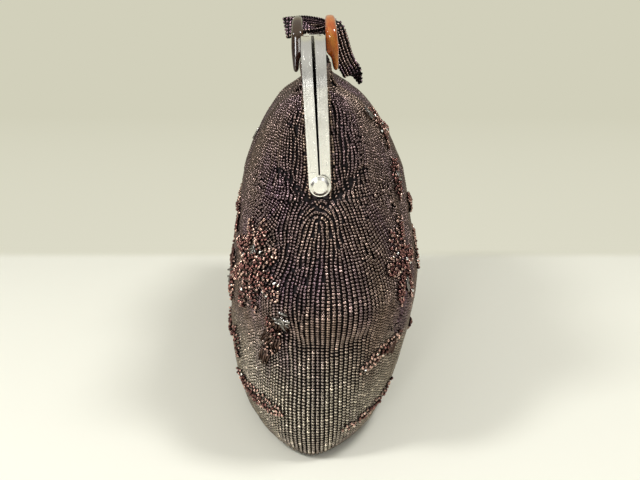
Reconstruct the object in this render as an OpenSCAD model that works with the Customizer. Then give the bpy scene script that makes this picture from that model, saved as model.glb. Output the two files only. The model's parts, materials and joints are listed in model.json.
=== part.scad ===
// Beaded evening handbag: a lined bead-covered sack hung in a hinged clasp frame,
// with resin opening tabs and a wrist strap. The bag stands on its flat base, X runs
// along its length, the front is at -Y, and the origin is the middle of the base.

/* [Sack] */
// Length of the sack at its widest level
bag_length = 252; // [200:1:300]
// Depth of the sack at its deepest level
bag_depth = 102; // [80:1:130]
// Height of the frame's hinge line above the base
hinge_height = 116; // [100:1:140]
// Thickness of the beaded fabric, beads included
bead_wall = 2.2; // [1.6:0.1:3]
// Roundness of the sack in plan: 2 is an ellipse, more is squarer
plan_power = 2.3; // [2:0.05:3]

/* [Lining] */
// Thickness of the satin lining with its interlining
lining_wall = 0.8; // [0.5:0.1:1.2]
// Length of the slip pocket
pocket_length = 116; // [80:1:130]
// Thickness of the slip pocket's doubled satin
pocket_wall = 0.8; // [0.5:0.1:1.2]

/* [Frame] */
// Length of the frame over its legs
frame_length = 200; // [160:1:220]
// Height of the frame's top above the hinge line
frame_rise = 58; // [50:1:70]
// Thickness of one frame half, front to back
half_thickness = 4.1; // [3.6:0.1:5]
// Width of the channel strip, in the plane of the arch
channel_depth = 12; // [9:0.5:14]
// Thickness of the pressed metal
metal = 0.9; // [0.7:0.05:1]
// Outer radius of the frame's top corners
corner_radius = 20; // [16:1:26]
// Angle between each closed half and the middle plane, which leaves the top gap
rest_gap_angle = 0.45; // [0.3:0.05:1]
// Lean of the closed frame towards the front
frame_lean = 2.8; // [0:0.1:4]

/* [Hinge] */
// Diameter of the rivet's outer head
rivet_head_d = 7.6; // [6.5:0.1:8.4]
// Height of the rivet's outer head
rivet_head_h = 1.6; // [1.2:0.1:2]
// Diameter of the rivet's shank
rivet_shank_d = 3; // [2.5:0.1:3.5]
// Radial running clearance of the hinge
hinge_clearance = 0.05; // [0.02:0.01:0.09]

/* [Tabs] */
// Length of an opening tab along the frame
tab_length = 34; // [24:1:44]
// Height of an opening tab
tab_height = 27.5; // [24:0.5:32]
// Height of a tab above the frame's top
tab_rise = 10; // [6:0.5:12]
// Thickness of a tab at its shoulder
tab_shoulder = 6.3; // [6:0.1:8]
// Thickness of a tab at its top
tab_top = 4.8; // [4:0.1:6]
// Thickness of a tab at its lower tip
tab_tip = 2.4; // [2:0.1:3.5]

/* [Strap] */
// Width of the beaded strap
strap_width = 12; // [10:0.5:14]
// Thickness of the beaded strap
strap_thickness = 3; // [2.4:0.1:3.4]
// Clearance between the folded strap and the opening tabs beside it
strap_clearance = 1.1; // [0.8:0.1:4]
// Wire diameter of the lug and ring
wire = 1.2; // [1:0.1:1.4]
// Centre-line radius of the strap ring
ring_radius = 4.6; // [4.2:0.1:5]

/* [Hidden] */

// Colours of the materials
bead_colour = [0.27, 0.21, 0.23];
satin_colour = [0.20, 0.16, 0.17];
metal_colour = [0.80, 0.80, 0.78];
steel_colour = [0.62, 0.62, 0.62];
dark_resin = [0.22, 0.12, 0.09];
amber_resin = [0.72, 0.30, 0.10];
paper_colour = [0.72, 0.64, 0.50];

// Clearances: between pieces that only lie against each other, for cuts that overrun,
// and between a fixed pin and its hole
seat_gap = 0.3;
cut_over = 2;
pin_gap = 0.02;

// Heights of the seam where the upper panels join the sack, and of the frame's top
seam_height = hinge_height - half_thickness - metal - 0.5 * metal;
frame_top = hinge_height + frame_rise;
mouth_height = frame_top - channel_depth;

// Frame half, across the channel: the inner face stands off the middle plane
half_standoff = seat_gap;
half_outer = half_standoff + half_thickness;
leg_base = half_outer + half_standoff;
ear_radius = half_outer;
ear_thickness = 1.3 * metal;
ear_space = 0.4 * metal;
recess_depth = 0.4 * metal;
recess_margin = 1.1 * metal;

// Sack, from the base to the seam: height, half-length and half-depth as shares of the
// seam height, of half the bag's length and of half its depth; then how far the level
// sags towards the back as a share of that half-depth, and how much less round it is in
// plan than plan_power makes it
sack_shares = [[0, 0.89, 0.457, -0.07, 0.4], [0.016, 0.905, 0.624, -0.065, 0.35],
               [0.045, 0.92, 0.778, -0.055, 0.3], [0.11, 0.938, 0.858, -0.045, 0.25],
               [0.225, 0.945, 0.913, -0.025, 0.2], [0.36, 0.936, 0.952, 0.015, 0.15],
               [0.48, 0.95, 0.962, 0.035, 0.1], [0.585, 0.99, 0.952, 0.043, 0.05],
               [0.65, 1, 0.925, 0.045, 0], [0.76, 0.96, 0.885, 0.045, 0],
               [0.86, 0.9, 0.853, 0.045, 0], [0.93, 0.85, 0.832, 0.04, 0],
               [1, 0.81, 0.804, 0.035, 0]];
// Upper panels, from the seam to the frame's mouth: height as a share of that rise,
// half-length as a share of the frame's, and how far they swell beyond the frame's
// face as a share of half the bag's depth. The tabs' feet hold them in near the top
panel_shares = [[0, 1.018, 0.71], [0.1, 0.985, 0.673], [0.235, 0.968, 0.614],
                [0.39, 0.959, 0.536], [0.545, 0.952, 0.434], [0.69, 0.943, 0.31],
                [0.78, 0.933, 0.15], [0.85, 0.922, 0.055], [0.93, 0.895, 0.044],
                [1, 0.845, 0.047]];
// Lining panels, likewise, inside the beaded ones and up to the channel's mouth
lining_shares = [[0, 0.985, 0.72], [0.1, 0.92, 0.683], [0.22, 0.866, 0.622],
                 [0.39, 0.866, 0.545], [0.545, 0.866, 0.44], [0.69, 0.866, 0.315],
                 [0.78, 0.862, 0.155], [0.85, 0.852, 0.06], [0.92, 0.835, 0.035],
                 [0.985, 0.79, 0.03]];
// How fast the panels take up the frame's lean on their way up
lean_power = 4;
// Levels worked out between two rows of a table, and points round a full plan outline
steps_between = 2;
lining_steps = 1;
plan_points = 44;

// A point at place u along a table of rows, on a smooth curve through the rows
function row(t, i) = t[max(0, min(len(t) - 1, i))];
function curve_at(t, u) =
    let(i = min(floor(u), len(t) - 2), f = u - i,
        a = row(t, i - 1), b = row(t, i), c = row(t, i + 1), d = row(t, i + 2))
    b + (c - a) * f / 2 + (a * 2 - b * 5 + c * 4 - d) * f * f / 2
      + (b * 3 - a - c * 3 + d) * f * f * f / 2;
function rows_along(t, steps) = [for (k = [0 : (len(t) - 1) * steps]) curve_at(t, k / steps)];

// Signed power, which turns a circle's cosine and sine into the sack's plan curve
function bulge(v, power) = sign(v) * pow(abs(v), 2 / power);
function plan_ring(z, a, b, sag, power) = [for (k = [0 : plan_points - 1])
    let(t = 360 * k / plan_points) [a * bulge(cos(t), power), sag + b * bulge(sin(t), power), z]];

// Two triangles of each four-sided patch between rows of m points, from point s on
function patch(m, i, j, k, s) = let(p = s + i * m, q = p + m)
    [[p + j, p + k, q + k], [p + j, q + k, q + j]];
function turned(faces) = [for (f = faces) [f[2], f[1], f[0]]];
function sheet_faces(rows, m, wrap, s) = [for (i = [0 : rows - 2])
    for (j = [0 : m - (wrap ? 1 : 2)]) each patch(m, i, j, (j + 1) % m, s)];

// A bowl with a flat base: rows of outer rings, then rows of inner rings, bottom up
module bowl(outer, inner) {
    n = len(outer);
    k = len(inner);
    m = len(outer[0]);
    points = concat([for (r = outer) each r], [for (r = inner) each r],
                    [[0, 0, outer[0][0].z], [0, 0, inner[0][0].z]]);
    low = (n + k) * m;
    faces = concat(
        sheet_faces(n, m, true, 0), turned(sheet_faces(k, m, true, n * m)),
        [for (j = [0 : m - 1]) let(h = (j + 1) % m) each [
            [h, j, low], [n * m + j, n * m + h, low + 1],
            [(n - 1) * m + j, (n - 1) * m + h, (n + k - 1) * m + h],
            [(n - 1) * m + j, (n + k - 1) * m + h, (n + k - 1) * m + j]]]);
    polyhedron(points = points, faces = turned(faces));
}

// A curved sheet with thickness: rows of outer points and as many rows of inner points
module thick_sheet(outer, inner) {
    n = len(outer);
    m = len(outer[0]);
    points = concat([for (r = outer) each r], [for (r = inner) each r]);
    s = n * m;
    top = (n - 1) * m;
    ends = [for (i = [0 : n - 2]) each [
        [i * m, (i + 1) * m, s + (i + 1) * m], [i * m, s + (i + 1) * m, s + i * m],
        [i * m + m - 1, s + i * m + m - 1, s + (i + 2) * m - 1],
        [i * m + m - 1, s + (i + 2) * m - 1, (i + 2) * m - 1]]];
    rims = [for (j = [0 : m - 2]) each [
        [j + 1, j, s + j], [j + 1, s + j, s + j + 1],
        [top + j, top + j + 1, s + top + j + 1], [top + j, s + top + j + 1, s + top + j]]];
    polyhedron(points = points, faces = turned(concat(
        sheet_faces(n, m, false, 0), turned(sheet_faces(n, m, false, s)), ends, rims)));
}

// Rings of the sack, drawn in by a distance from its outer surface, above a floor
function sack_rings(inset, floor_z, steps) = let(levels = rows_along(sack_shares, steps))
    [for (i = [0 : len(levels) - 1])
        let(l = levels[i])
        plan_ring(floor_z + l[0] * (seam_height - floor_z), l[1] * bag_length / 2 - inset,
                  l[2] * bag_depth / 2 - inset, l[3] * bag_depth / 2, plan_power - l[4])];

module beaded_sack() {
    color(bead_colour)
        bowl(sack_rings(0, 0, steps_between), sack_rings(bead_wall, bead_wall, steps_between));
}

lining_inset = bead_wall + 2 * seat_gap;
lining_inner = lining_inset + lining_wall;
module sack_lining() {
    color(satin_colour)
        bowl(sack_rings(lining_inset, lining_inset, lining_steps),
             sack_rings(lining_inner, lining_inner, lining_steps));
}

// Slip pocket: a patch that follows the back of the lining between two levels, straight
// from row to row as the lining is
pocket_levels = [4.2, 5, 6, 7, 8, 9, 9.6];
pocket_points = 13;
pocket_inset = lining_inner + 2 * seat_gap;
function pocket_rows(inset) = [for (u = pocket_levels)
    let(f = u - floor(u),
        l = row(sack_shares, floor(u)) * (1 - f) + row(sack_shares, floor(u) + 1) * f,
        a = l[1] * bag_length / 2 - inset, b = l[2] * bag_depth / 2 - inset,
        power = plan_power - l[4])
    [for (j = [0 : pocket_points - 1])
        let(x = pocket_length * (0.5 - j / (pocket_points - 1)))
        [x, l[3] * bag_depth / 2 + b * pow(1 - pow(abs(x) / a, power), 1 / power),
         lining_inner + l[0] * (seam_height - lining_inner)]]];
module slip_pocket() {
    color(satin_colour)
        thick_sheet(pocket_rows(pocket_inset), pocket_rows(pocket_inset + pocket_wall));
}

// Where a plane of the closed, leaning frame half lies at a height: y is measured in
// the half, outwards from the middle plane; side is -1 for the front, 1 for the back
function at_half(side, y, z) =
    y + max(0, z - hinge_height) * tan(rest_gap_angle - side * frame_lean);

// Rows of one upper panel's surface, drawn in by inset; edge is where its ends start. At
// the seam the panel swells as far to the back as the sack's top does
panel_points = 25;
seam_sag = sack_shares[len(sack_shares) - 1][3] * bag_depth / 2;
function panel_rows(shares, side, inset, edge, thickness, steps) =
    let(levels = rows_along(shares, steps),
        low = seam_height + seat_gap, rise = mouth_height + seat_gap - low)
    [for (l = levels)
        let(z = low + l[0] * rise, y0 = at_half(side, edge, z),
            a = l[1] * frame_length / 2 - inset,
            lean = (y0 - edge) * pow(l[0], lean_power),
            swell = edge + lean + l[2] * bag_depth / 2 + side * seam_sag * (1 - l[0]),
            b = max(swell, y0 + 1.1 * thickness) - inset)
        [for (k = [0 : panel_points - 1])
            let(t = 180 * k / (panel_points - 1))
            [side * a * bulge(cos(t), plan_power),
             side * (y0 + (b - y0) * bulge(sin(t), plan_power)), z]]];
module upper_panel(side, colour, shares, edge, thickness, steps) {
    color(colour)
        thick_sheet(panel_rows(shares, side, 0, edge, thickness, steps),
                    panel_rows(shares, side, thickness, edge, thickness, steps));
}
panel_edge = half_outer + seat_gap;
lining_edge = half_standoff + metal;
module front_upper_panel() {
    upper_panel(-1, bead_colour, panel_shares, panel_edge, bead_wall, steps_between);
}
module back_upper_panel() {
    upper_panel(1, bead_colour, panel_shares, panel_edge, bead_wall, steps_between);
}
module front_lining_panel() {
    upper_panel(-1, satin_colour, lining_shares, lining_edge, lining_wall, lining_steps);
}
module back_lining_panel() {
    upper_panel(1, satin_colour, lining_shares, lining_edge, lining_wall, lining_steps);
}

// Puts a piece drawn in a half's own axes at its place in the closed frame: there the
// hinge line is the X axis, and y runs outwards from the middle plane
module in_half(side) {
    translate([0, 0, hinge_height])
        rotate([frame_lean - side * rest_gap_angle, 0, 0])
            mirror([0, side < 0 ? 1 : 0, 0]) children();
}

// The arch's outline as a solid: drawn in by inset, between two distances outwards
module arch_solid(inset, y0, y1, base) {
    l = frame_length / 2;
    r = corner_radius;
    translate([-(l - inset), y0, base]) cube([2 * (l - inset), y1 - y0, frame_rise - r - base]);
    translate([-(l - r), y0, base]) cube([2 * (l - r), y1 - y0, frame_rise - inset - base]);
    for (s = [-1, 1])
        translate([s * (l - r), y0, frame_rise - r]) rotate([-90, 0, 0])
            cylinder(r = r - inset, h = y1 - y0, $fn = 64);
}

// One half of the frame: a pressed channel with a sunk band round its outside
module channel_arch() {
    y0 = half_standoff;
    y1 = half_outer;
    difference() {
        arch_solid(0, y0, y1, leg_base);
        arch_solid(channel_depth, y0 - cut_over, y1 + cut_over, leg_base - cut_over);
        arch_solid(metal + recess_depth, y0 + metal, y1 - metal, leg_base - cut_over);
        difference() {
            arch_solid(-cut_over, y0 + recess_margin, y1 - recess_margin, leg_base - cut_over);
            arch_solid(recess_depth, y0 + recess_margin - cut_over, y1 - recess_margin + cut_over,
                       leg_base - 2 * cut_over);
        }
        for (s = [-1, 1]) translate([s * rivet_spacing / 2, half_outer - metal - cut_over, rivet_level])
            rotate([-90, 0, 0])
                cylinder(d = tab_rivet_d + 2 * pin_gap, h = metal + 2 * cut_over, $fn = 32);
    }
}

// The round ear at the foot of a leg, in the plane of the strip's outside or just
// inside it, with the neck that carries it. x0 is its outer face
module hinge_ear(x0, neck_top) {
    difference() {
        union() {
            translate([x0 - ear_thickness, 0, 0]) rotate([0, 90, 0])
                cylinder(r = ear_radius, h = ear_thickness, $fn = 64);
            translate([x0 - ear_thickness, half_standoff, 0])
                cube([ear_thickness, half_thickness, neck_top]);
        }
        translate([x0 - ear_thickness - cut_over, 0, 0]) rotate([0, 90, 0])
            cylinder(d = rivet_shank_d + 2 * hinge_clearance, h = ear_thickness + 2 * cut_over,
                     $fn = 48);
    }
}

outer_ear_face = frame_length / 2;
inner_ear_face = outer_ear_face - ear_thickness - ear_space;
module front_frame() {
    color(metal_colour) in_half(-1) union() {
        channel_arch();
        for (s = [0, 1]) mirror([s, 0, 0])
            hinge_ear(outer_ear_face, leg_base + metal);
    }
}

// The back half's ears run inside the front half's, so its legs are joggled inwards
joggle_height = 2.5 * metal;
module back_frame() {
    color(metal_colour) in_half(1) union() {
        channel_arch();
        for (s = [0, 1]) mirror([s, 0, 0]) {
            hinge_ear(inner_ear_face, leg_base + joggle_height);
            translate([inner_ear_face - ear_thickness, half_standoff, leg_base])
                cube([outer_ear_face - recess_depth - inner_ear_face + ear_thickness,
                      half_thickness, joggle_height]);
        }
    }
}

// Hinge rivets: a shallow bevelled head outside, a shank through both ears and the washer,
// and a clinched tail inside
washer_thickness = 0.6 * metal;
tail_height = 0.8 * metal;
tail_d = 1.55 * rivet_shank_d;
washer_d = 2 * rivet_shank_d;
face_gap = 0.1;
head_rim_share = 0.45;
head_crown_share = 0.72;
tail_face = inner_ear_face - ear_thickness - washer_thickness - 2 * face_gap;
module hinge_rivet() {
    head_face = outer_ear_face + face_gap;
    rim = head_rim_share * rivet_head_h;
    translate([head_face, 0, 0]) rotate([0, 90, 0]) {
        cylinder(d = rivet_head_d, h = rim, $fn = 64);
        translate([0, 0, rim]) cylinder(d1 = rivet_head_d, d2 = head_crown_share * rivet_head_d,
                                        h = rivet_head_h - rim, $fn = 64);
    }
    translate([tail_face, 0, 0]) rotate([0, 90, 0])
        cylinder(d = rivet_shank_d, h = head_face - tail_face, $fn = 48);
    translate([tail_face - tail_height, 0, 0]) rotate([0, 90, 0])
        cylinder(d = tail_d, h = tail_height, $fn = 48);
}
module hinge_rivets() {
    color(metal_colour) in_half(1) for (s = [0, 1]) mirror([s, 0, 0]) hinge_rivet();
}
module rivet_washers() {
    color(steel_colour) in_half(1) for (s = [0, 1]) mirror([s, 0, 0])
        translate([tail_face + face_gap, 0, 0]) rotate([0, 90, 0]) difference() {
            cylinder(d = washer_d, h = washer_thickness, $fn = 48);
            translate([0, 0, -cut_over])
                cylinder(d = rivet_shank_d + 2 * pin_gap, h = washer_thickness + 2 * cut_over,
                         $fn = 48);
        }
}

// Paper cord that jams the fabric in the channel
cord_gap = 0.1;
cord_height = 2.2 * metal;
module channel_cord(side) {
    inset = metal + recess_depth + cord_gap;
    color(paper_colour) in_half(side) difference() {
        arch_solid(inset, half_standoff + metal + cord_gap, half_outer - metal - cord_gap,
                   leg_base + joggle_height + cord_gap);
        arch_solid(inset + cord_height, half_standoff - cut_over, half_outer + cut_over,
                   leg_base - cut_over);
    }
}
module front_channel_cord() { channel_cord(-1); }
module back_channel_cord() { channel_cord(1); }

// Tab bracket: a plate against the half's outer face. The rivets pass through it
bracket_thickness = 0.8 * metal;
bracket_length = 0.8 * tab_length;
bracket_height = 0.75 * channel_depth;
rivet_spacing = 0.47 * tab_length;
rivet_level = frame_rise - channel_depth / 2;
tab_rivet_d = 1.8 * metal;
module tab_bracket(side) {
    color(metal_colour) in_half(side) difference() {
        translate([-bracket_length / 2, half_outer, rivet_level - bracket_height / 2])
            cube([bracket_length, bracket_thickness, bracket_height]);
        for (s = [-1, 1]) translate([s * rivet_spacing / 2, half_outer - cut_over, rivet_level])
            rotate([-90, 0, 0])
                cylinder(d = tab_rivet_d + 2 * pin_gap, h = bracket_thickness + 2 * cut_over,
                         $fn = 32);
    }
}
module front_tab_bracket() { tab_bracket(-1); }
module back_tab_bracket() { tab_bracket(1); }

// Resin tab: a leaf seen from the front, wedge-shaped seen from the end, with a
// shoulder where the outer face turns in, a foot relieved over the fabric, and blind
// holes for its two rivets
shoulder_share = 0.42;
crest_share = 0.93;
relief_share = 0.32;
knee_share = 0.24;
tab_relief = bead_wall + 1.5 * seat_gap;
tab_foot = frame_rise + tab_rise - tab_height;
tab_face = half_outer + bracket_thickness;
hole_depth = 0.4 * tab_shoulder;
module tab_solid() {
    leaf_radius = 0.6 * tab_length;
    side_radius = 1.15 * tab_height;
    difference() {
        intersection() {
            rotate([90, 0, 90]) translate([tab_face, tab_foot, -tab_length / 2])
                linear_extrude(tab_length) polygon([
                    [0, relief_share * tab_height], [tab_relief, knee_share * tab_height],
                    [1.3 * tab_relief, 0], [1.3 * tab_relief + tab_tip, 0],
                    [tab_shoulder, shoulder_share * tab_height],
                    [tab_top + (tab_shoulder - tab_top) / 3, crest_share * tab_height],
                    [tab_top, tab_height], [0, tab_height]]);
            translate([0, 0, tab_foot + tab_height - leaf_radius]) rotate([-90, 0, 0])
                cylinder(r = leaf_radius, h = tab_face + tab_shoulder + cut_over, $fn = 96);
            union() for (s = [0, 1]) mirror([s, 0, 0])
                translate([tab_length / 2 - side_radius, 0, tab_foot + tab_height * 0.65])
                    rotate([-90, 0, 0]) cylinder(r = side_radius,
                        h = tab_face + tab_shoulder + cut_over, $fn = 96);
        }
        for (s = [-1, 1]) translate([s * rivet_spacing / 2, tab_face - cut_over, rivet_level])
            rotate([-90, 0, 0])
                cylinder(d = tab_rivet_d + 2 * pin_gap, h = hole_depth + cut_over, $fn = 32);
    }
}
module front_tab() { color(dark_resin) in_half(-1) tab_solid(); }
module back_tab() { color(amber_resin) in_half(1) tab_solid(); }

// Tab rivets: flat heads inside the channel, shanks through its wall and the bracket
rivet_flat_d = 1.9 * tab_rivet_d;
rivet_flat_h = 0.6 * metal;
module tab_rivets(side) {
    head_y = half_outer - metal;
    color(steel_colour) in_half(side) for (s = [-1, 1])
        translate([s * rivet_spacing / 2, 0, rivet_level]) rotate([-90, 0, 0]) {
            translate([0, 0, head_y - rivet_flat_h])
                cylinder(d = rivet_flat_d, h = rivet_flat_h, $fn = 32);
            translate([0, 0, head_y])
                cylinder(d = tab_rivet_d, h = metal + bracket_thickness + hole_depth - pin_gap,
                         $fn = 32);
        }
}
module front_tab_rivets() { tab_rivets(-1); }
module back_tab_rivets() { tab_rivets(1); }

// Catch, inside the mouth: a tongue on the front half enters a slotted keeper on the
// back half and is held there by its rounded nose
catch_length = 16 * metal;
catch_drop = 5.5 * metal;
catch_gap = 0.45 * metal;
tongue_level = frame_rise - channel_depth - 0.62 * catch_drop;
tongue_reach = half_standoff + 2.1 * metal;
module catch_tongue() {
    nose = 0.62 * metal;
    color(steel_colour) in_half(-1) {
        translate([-catch_length / 2, half_standoff, frame_rise - channel_depth - catch_drop])
            cube([catch_length, metal, catch_drop]);
        translate([-catch_length / 3, -tongue_reach, tongue_level - metal / 2])
            cube([catch_length * 2 / 3, tongue_reach + half_standoff + metal, metal]);
        translate([-catch_length / 3, -tongue_reach, tongue_level]) rotate([0, 90, 0])
            cylinder(r = nose, h = catch_length * 2 / 3, $fn = 32);
    }
}
module catch_keeper() {
    color(steel_colour) in_half(1) difference() {
        translate([-catch_length / 2, half_standoff, frame_rise - channel_depth - catch_drop])
            cube([catch_length, metal, catch_drop]);
        translate([-catch_length / 3 - catch_gap, half_standoff - cut_over,
                   tongue_level - metal / 2 - catch_gap])
            cube([catch_length * 2 / 3 + 2 * catch_gap, metal + 2 * cut_over,
                  metal + 2 * catch_gap]);
    }
}

// Strap lug: a wire staple on the back half's top, near its far corner; lug_offset is
// worked out below, with the strap's table
lug_y = half_standoff + half_thickness / 2;
lug_foot = frame_rise - recess_depth;
lug_radius = 2 * wire;
lug_leg = 0.7 * wire;
ring_z = lug_foot + lug_leg + 0.45 * wire;
module strap_lug() {
    color(metal_colour) in_half(1) translate([-lug_offset, lug_y, lug_foot]) {
        translate([0, 0, lug_leg]) rotate([90, 0, 0])
            rotate_extrude(angle = 180, $fn = 48) translate([lug_radius, 0])
                circle(d = wire, $fn = 24);
        for (s = [-1, 1]) translate([s * lug_radius, 0, 0])
            cylinder(d = wire, h = lug_leg, $fn = 24);
    }
}

// Strap ring, through the lug and laid forward; it and the strap turn about the lug's hole
ring_angle = 20;
module on_ring() {
    in_half(1) translate([-lug_offset, lug_y, ring_z]) rotate([0, -ring_angle, 0])
        translate([ring_radius, 0, 0]) children();
}
module strap_ring() {
    color(metal_colour) on_ring()
        rotate_extrude($fn = 64) translate([ring_radius, 0]) circle(d = wire, $fn = 24);
}

// Clamp: a knuckle round the ring and a folded plate box that grips both strap ends
knuckle_length = 3.2 * wire;
knuckle_hole = wire;
knuckle_wall = 0.8 * metal;
clamp_wall = 0.7 * metal;
clamp_width = strap_width + 2 * clamp_wall;
clamp_height = 2 * strap_thickness + 2 * clamp_wall + face_gap;
clamp_length = 0.6 * strap_width;
grip_depth = 0.35 * clamp_length;
clamp_start = 1.5 * wire;
module strap_clamp() {
    color(metal_colour) on_ring() translate([ring_radius, 0, 0]) rotate([0, ring_angle, 0])
        difference() {
            union() {
                rotate([90, 0, 0]) cylinder(r = knuckle_hole + knuckle_wall, h = knuckle_length,
                                            center = true, $fn = 48);
                translate([clamp_start, -knuckle_length / 2, -knuckle_wall])
                    cube([clamp_wall, knuckle_length, 2 * knuckle_wall]);
                translate([clamp_start, -clamp_width / 2, -clamp_height / 2])
                    cube([clamp_length, clamp_width, clamp_height]);
            }
            rotate([90, 0, 0]) cylinder(r = knuckle_hole, h = knuckle_length + cut_over,
                                        center = true, $fn = 48);
            translate([clamp_start + clamp_length - grip_depth, clamp_wall - clamp_width / 2,
                       clamp_wall - clamp_height / 2])
                cube([grip_depth + cut_over, strap_width, clamp_height - 2 * clamp_wall]);
        }
}

// Wrist strap: one band, both ends in the clamp. It lies forward over the frame's top,
// bulges at the front, dips over the mouth, drops behind the back rail and returns.
// Each row is a place on the centre line, in strap widths from the clamp's grip, and
// the direction of the band's width there
strap_shares = [
    [-0.2, 0, 0.127, 0, 1, 0], [0, 0, 0.127, 0, 1, 0], [0.16, 0, 0.13, 0, 1, 0],
    [0.65, -0.03, 0.16, 0, 1, 0.1], [1.25, -0.3, 0.2, 0.25, 0.88, 0.35],
    [1.8, -0.75, 0.16, 0.35, 0.55, 0.7], [2.3, -1.2, 0.09, 0.3, 0.2, 0.95],
    [2.72, -1.5, 0.04, 0.12, -0.15, 1], [2.98, -1.4, 0.04, -0.3, -0.1, 0.95],
    [3.02, -1, 0.05, -0.7, 0, 0.7], [3, -0.55, -0.04, -1, 0, 0.3],
    [2.96, -0.14, -0.14, -1, 0, 0], [2.94, 0.22, -0.06, -1, 0, 0],
    [2.92, 0.46, 0.12, -0.95, 0.25, 0.2], [2.88, 0.68, -0.04, -0.6, 0.75, 0.25],
    [2.8, 0.8, -0.45, -0.25, 0.9, 0.35], [2.66, 0.96, -1.03, -0.35, 0.88, 0.3],
    [2.42, 1.18, -1.62, -0.5, 0.8, 0.1], [2.06, 1.46, -2.1, -0.55, 0.74, -0.35],
    [1.6, 1.6, -2.3, -0.1, 0.62, -0.78], [1.2, 1.5, -2.1, 0.5, 0.6, -0.62],
    [0.95, 1.2, -1.62, 0.85, 0.45, -0.3], [0.88, 0.95, -1.08, 0.97, 0.2, -0.05],
    [0.88, 0.66, -0.52, 0.98, -0.1, 0], [0.76, 0.3, -0.12, 0.75, -0.65, 0],
    [0.46, 0.06, -0.12, 0.3, -0.95, 0], [0.16, 0, -0.13, 0, -1, 0],
    [0, 0, -0.127, 0, -1, 0], [-0.2, 0, -0.127, 0, -1, 0]];
strap_steps = 2;
strap_edge_share = 0.3;
// The folded strap lies beside the opening tabs, which gives the place of its lug
strap_reach = max([for (r = strap_shares) r[0]]) * strap_width + strap_width / 2;
strap_grip = ring_radius * 2 * cos(ring_angle) + clamp_start + clamp_length;
lug_offset = tab_length / 2 + strap_clearance + strap_reach + strap_grip;
function unit(v) = v / norm(v);
function strap_row(i) = strap_rows[max(0, min(len(strap_rows) - 1, i))];
strap_rows = rows_along(strap_shares, strap_steps);
function place_of(r) = [r[0], r[1], r[2]] * strap_width;
function strap_section(i) =
    let(r = strap_rows[i], p = place_of(r),
        t = unit(place_of(strap_row(i + 1)) - place_of(strap_row(i - 1))),
        w0 = [r[3], r[4], r[5]], w = unit(w0 - t * (w0 * t)), n = cross(t, w),
        a = strap_width / 2, b = strap_thickness / 2, c = b * strap_edge_share)
    [for (q = [[a, b - c], [a - c, b], [c - a, b], [-a, b - c],
               [-a, c - b], [c - a, -b], [a - c, -b], [a, c - b]]) p + w * q[0] + n * q[1]];
module wrist_strap() {
    rings = [for (i = [0 : len(strap_rows) - 1]) strap_section(i)];
    m = len(rings[0]);
    last = (len(rings) - 1) * m;
    caps = [for (j = [1 : m - 2]) each [[0, j + 1, j], [last, last + j, last + j + 1]]];
    lift = 2 * ring_radius * sin(ring_angle);
    color(bead_colour) in_half(1)
        translate([-lug_offset + strap_grip, lug_y, ring_z + lift])
            polyhedron(points = [for (r = rings) each r],
                       faces = turned(concat(sheet_faces(len(rings), m, true, 0), caps)));
}

beaded_sack();
sack_lining();
slip_pocket();
front_upper_panel();
back_upper_panel();
front_lining_panel();
back_lining_panel();
front_frame();
front_channel_cord();
front_tab_bracket();
front_tab();
front_tab_rivets();
catch_tongue();
back_frame();
back_channel_cord();
back_tab_bracket();
back_tab();
back_tab_rivets();
catch_keeper();
hinge_rivets();
rivet_washers();
strap_lug();
strap_ring();
strap_clamp();
wrist_strap();
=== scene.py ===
"""Looks of a beaded clasp-frame handbag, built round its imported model.

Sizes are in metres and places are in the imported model's own frame: +X runs along the bag
towards the end that the camera sees, the front is at -Y and the bag stands on Z 0.
"""
import json
import math
import random
from collections import deque

import bmesh
import bpy
import numpy as np
from bpy.props import FloatProperty, FloatVectorProperty, IntProperty, PointerProperty
from mathutils import Matrix, Vector, noise
from mathutils.bvhtree import BVHTree
from mathutils.kdtree import KDTree


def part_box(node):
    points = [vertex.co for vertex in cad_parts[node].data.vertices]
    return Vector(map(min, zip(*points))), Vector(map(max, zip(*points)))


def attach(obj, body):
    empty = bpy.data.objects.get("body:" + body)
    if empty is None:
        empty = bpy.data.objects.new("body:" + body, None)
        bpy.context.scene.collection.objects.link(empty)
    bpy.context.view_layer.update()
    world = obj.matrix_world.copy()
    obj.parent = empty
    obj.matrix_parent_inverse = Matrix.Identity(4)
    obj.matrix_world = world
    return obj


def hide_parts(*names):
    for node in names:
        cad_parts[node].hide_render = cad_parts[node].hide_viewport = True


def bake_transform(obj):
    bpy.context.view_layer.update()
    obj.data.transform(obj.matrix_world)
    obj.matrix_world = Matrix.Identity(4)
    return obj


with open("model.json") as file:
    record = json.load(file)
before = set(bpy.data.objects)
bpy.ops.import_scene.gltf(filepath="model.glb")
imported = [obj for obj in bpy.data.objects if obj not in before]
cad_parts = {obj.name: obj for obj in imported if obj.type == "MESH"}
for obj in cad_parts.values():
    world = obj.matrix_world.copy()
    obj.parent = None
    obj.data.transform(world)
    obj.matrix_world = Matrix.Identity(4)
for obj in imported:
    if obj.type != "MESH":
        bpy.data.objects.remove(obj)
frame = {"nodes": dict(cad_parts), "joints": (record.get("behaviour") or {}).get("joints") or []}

bl_info = {
    "name": "Beaded clasp-frame handbag",
    "version": (1, 0, 0),
    "blender": (4, 5, 0),
    "location": "View3D > Sidebar > Handbag",
    "description": "Dresses the packed handbag with strung beads, resin, plated metal and satin",
    "category": "Object",
}

MM = 0.001
UP = Vector((0, 0, 1))
HINGE = Vector(next(j["pos_m"] for j in frame["joints"] if j["name"] == "front_open"))
SEAM_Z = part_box("beaded_sack")[1].z
HALVES = {"front": -1, "back": 1}
LEAN = math.radians(2.8)
HALF_FACE = 4.7 * MM
BEADED = ("beaded_sack", "front_upper_panel", "back_upper_panel")
LINED = ("sack_lining", "slip_pocket", "front_lining_panel", "back_lining_panel")


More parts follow.
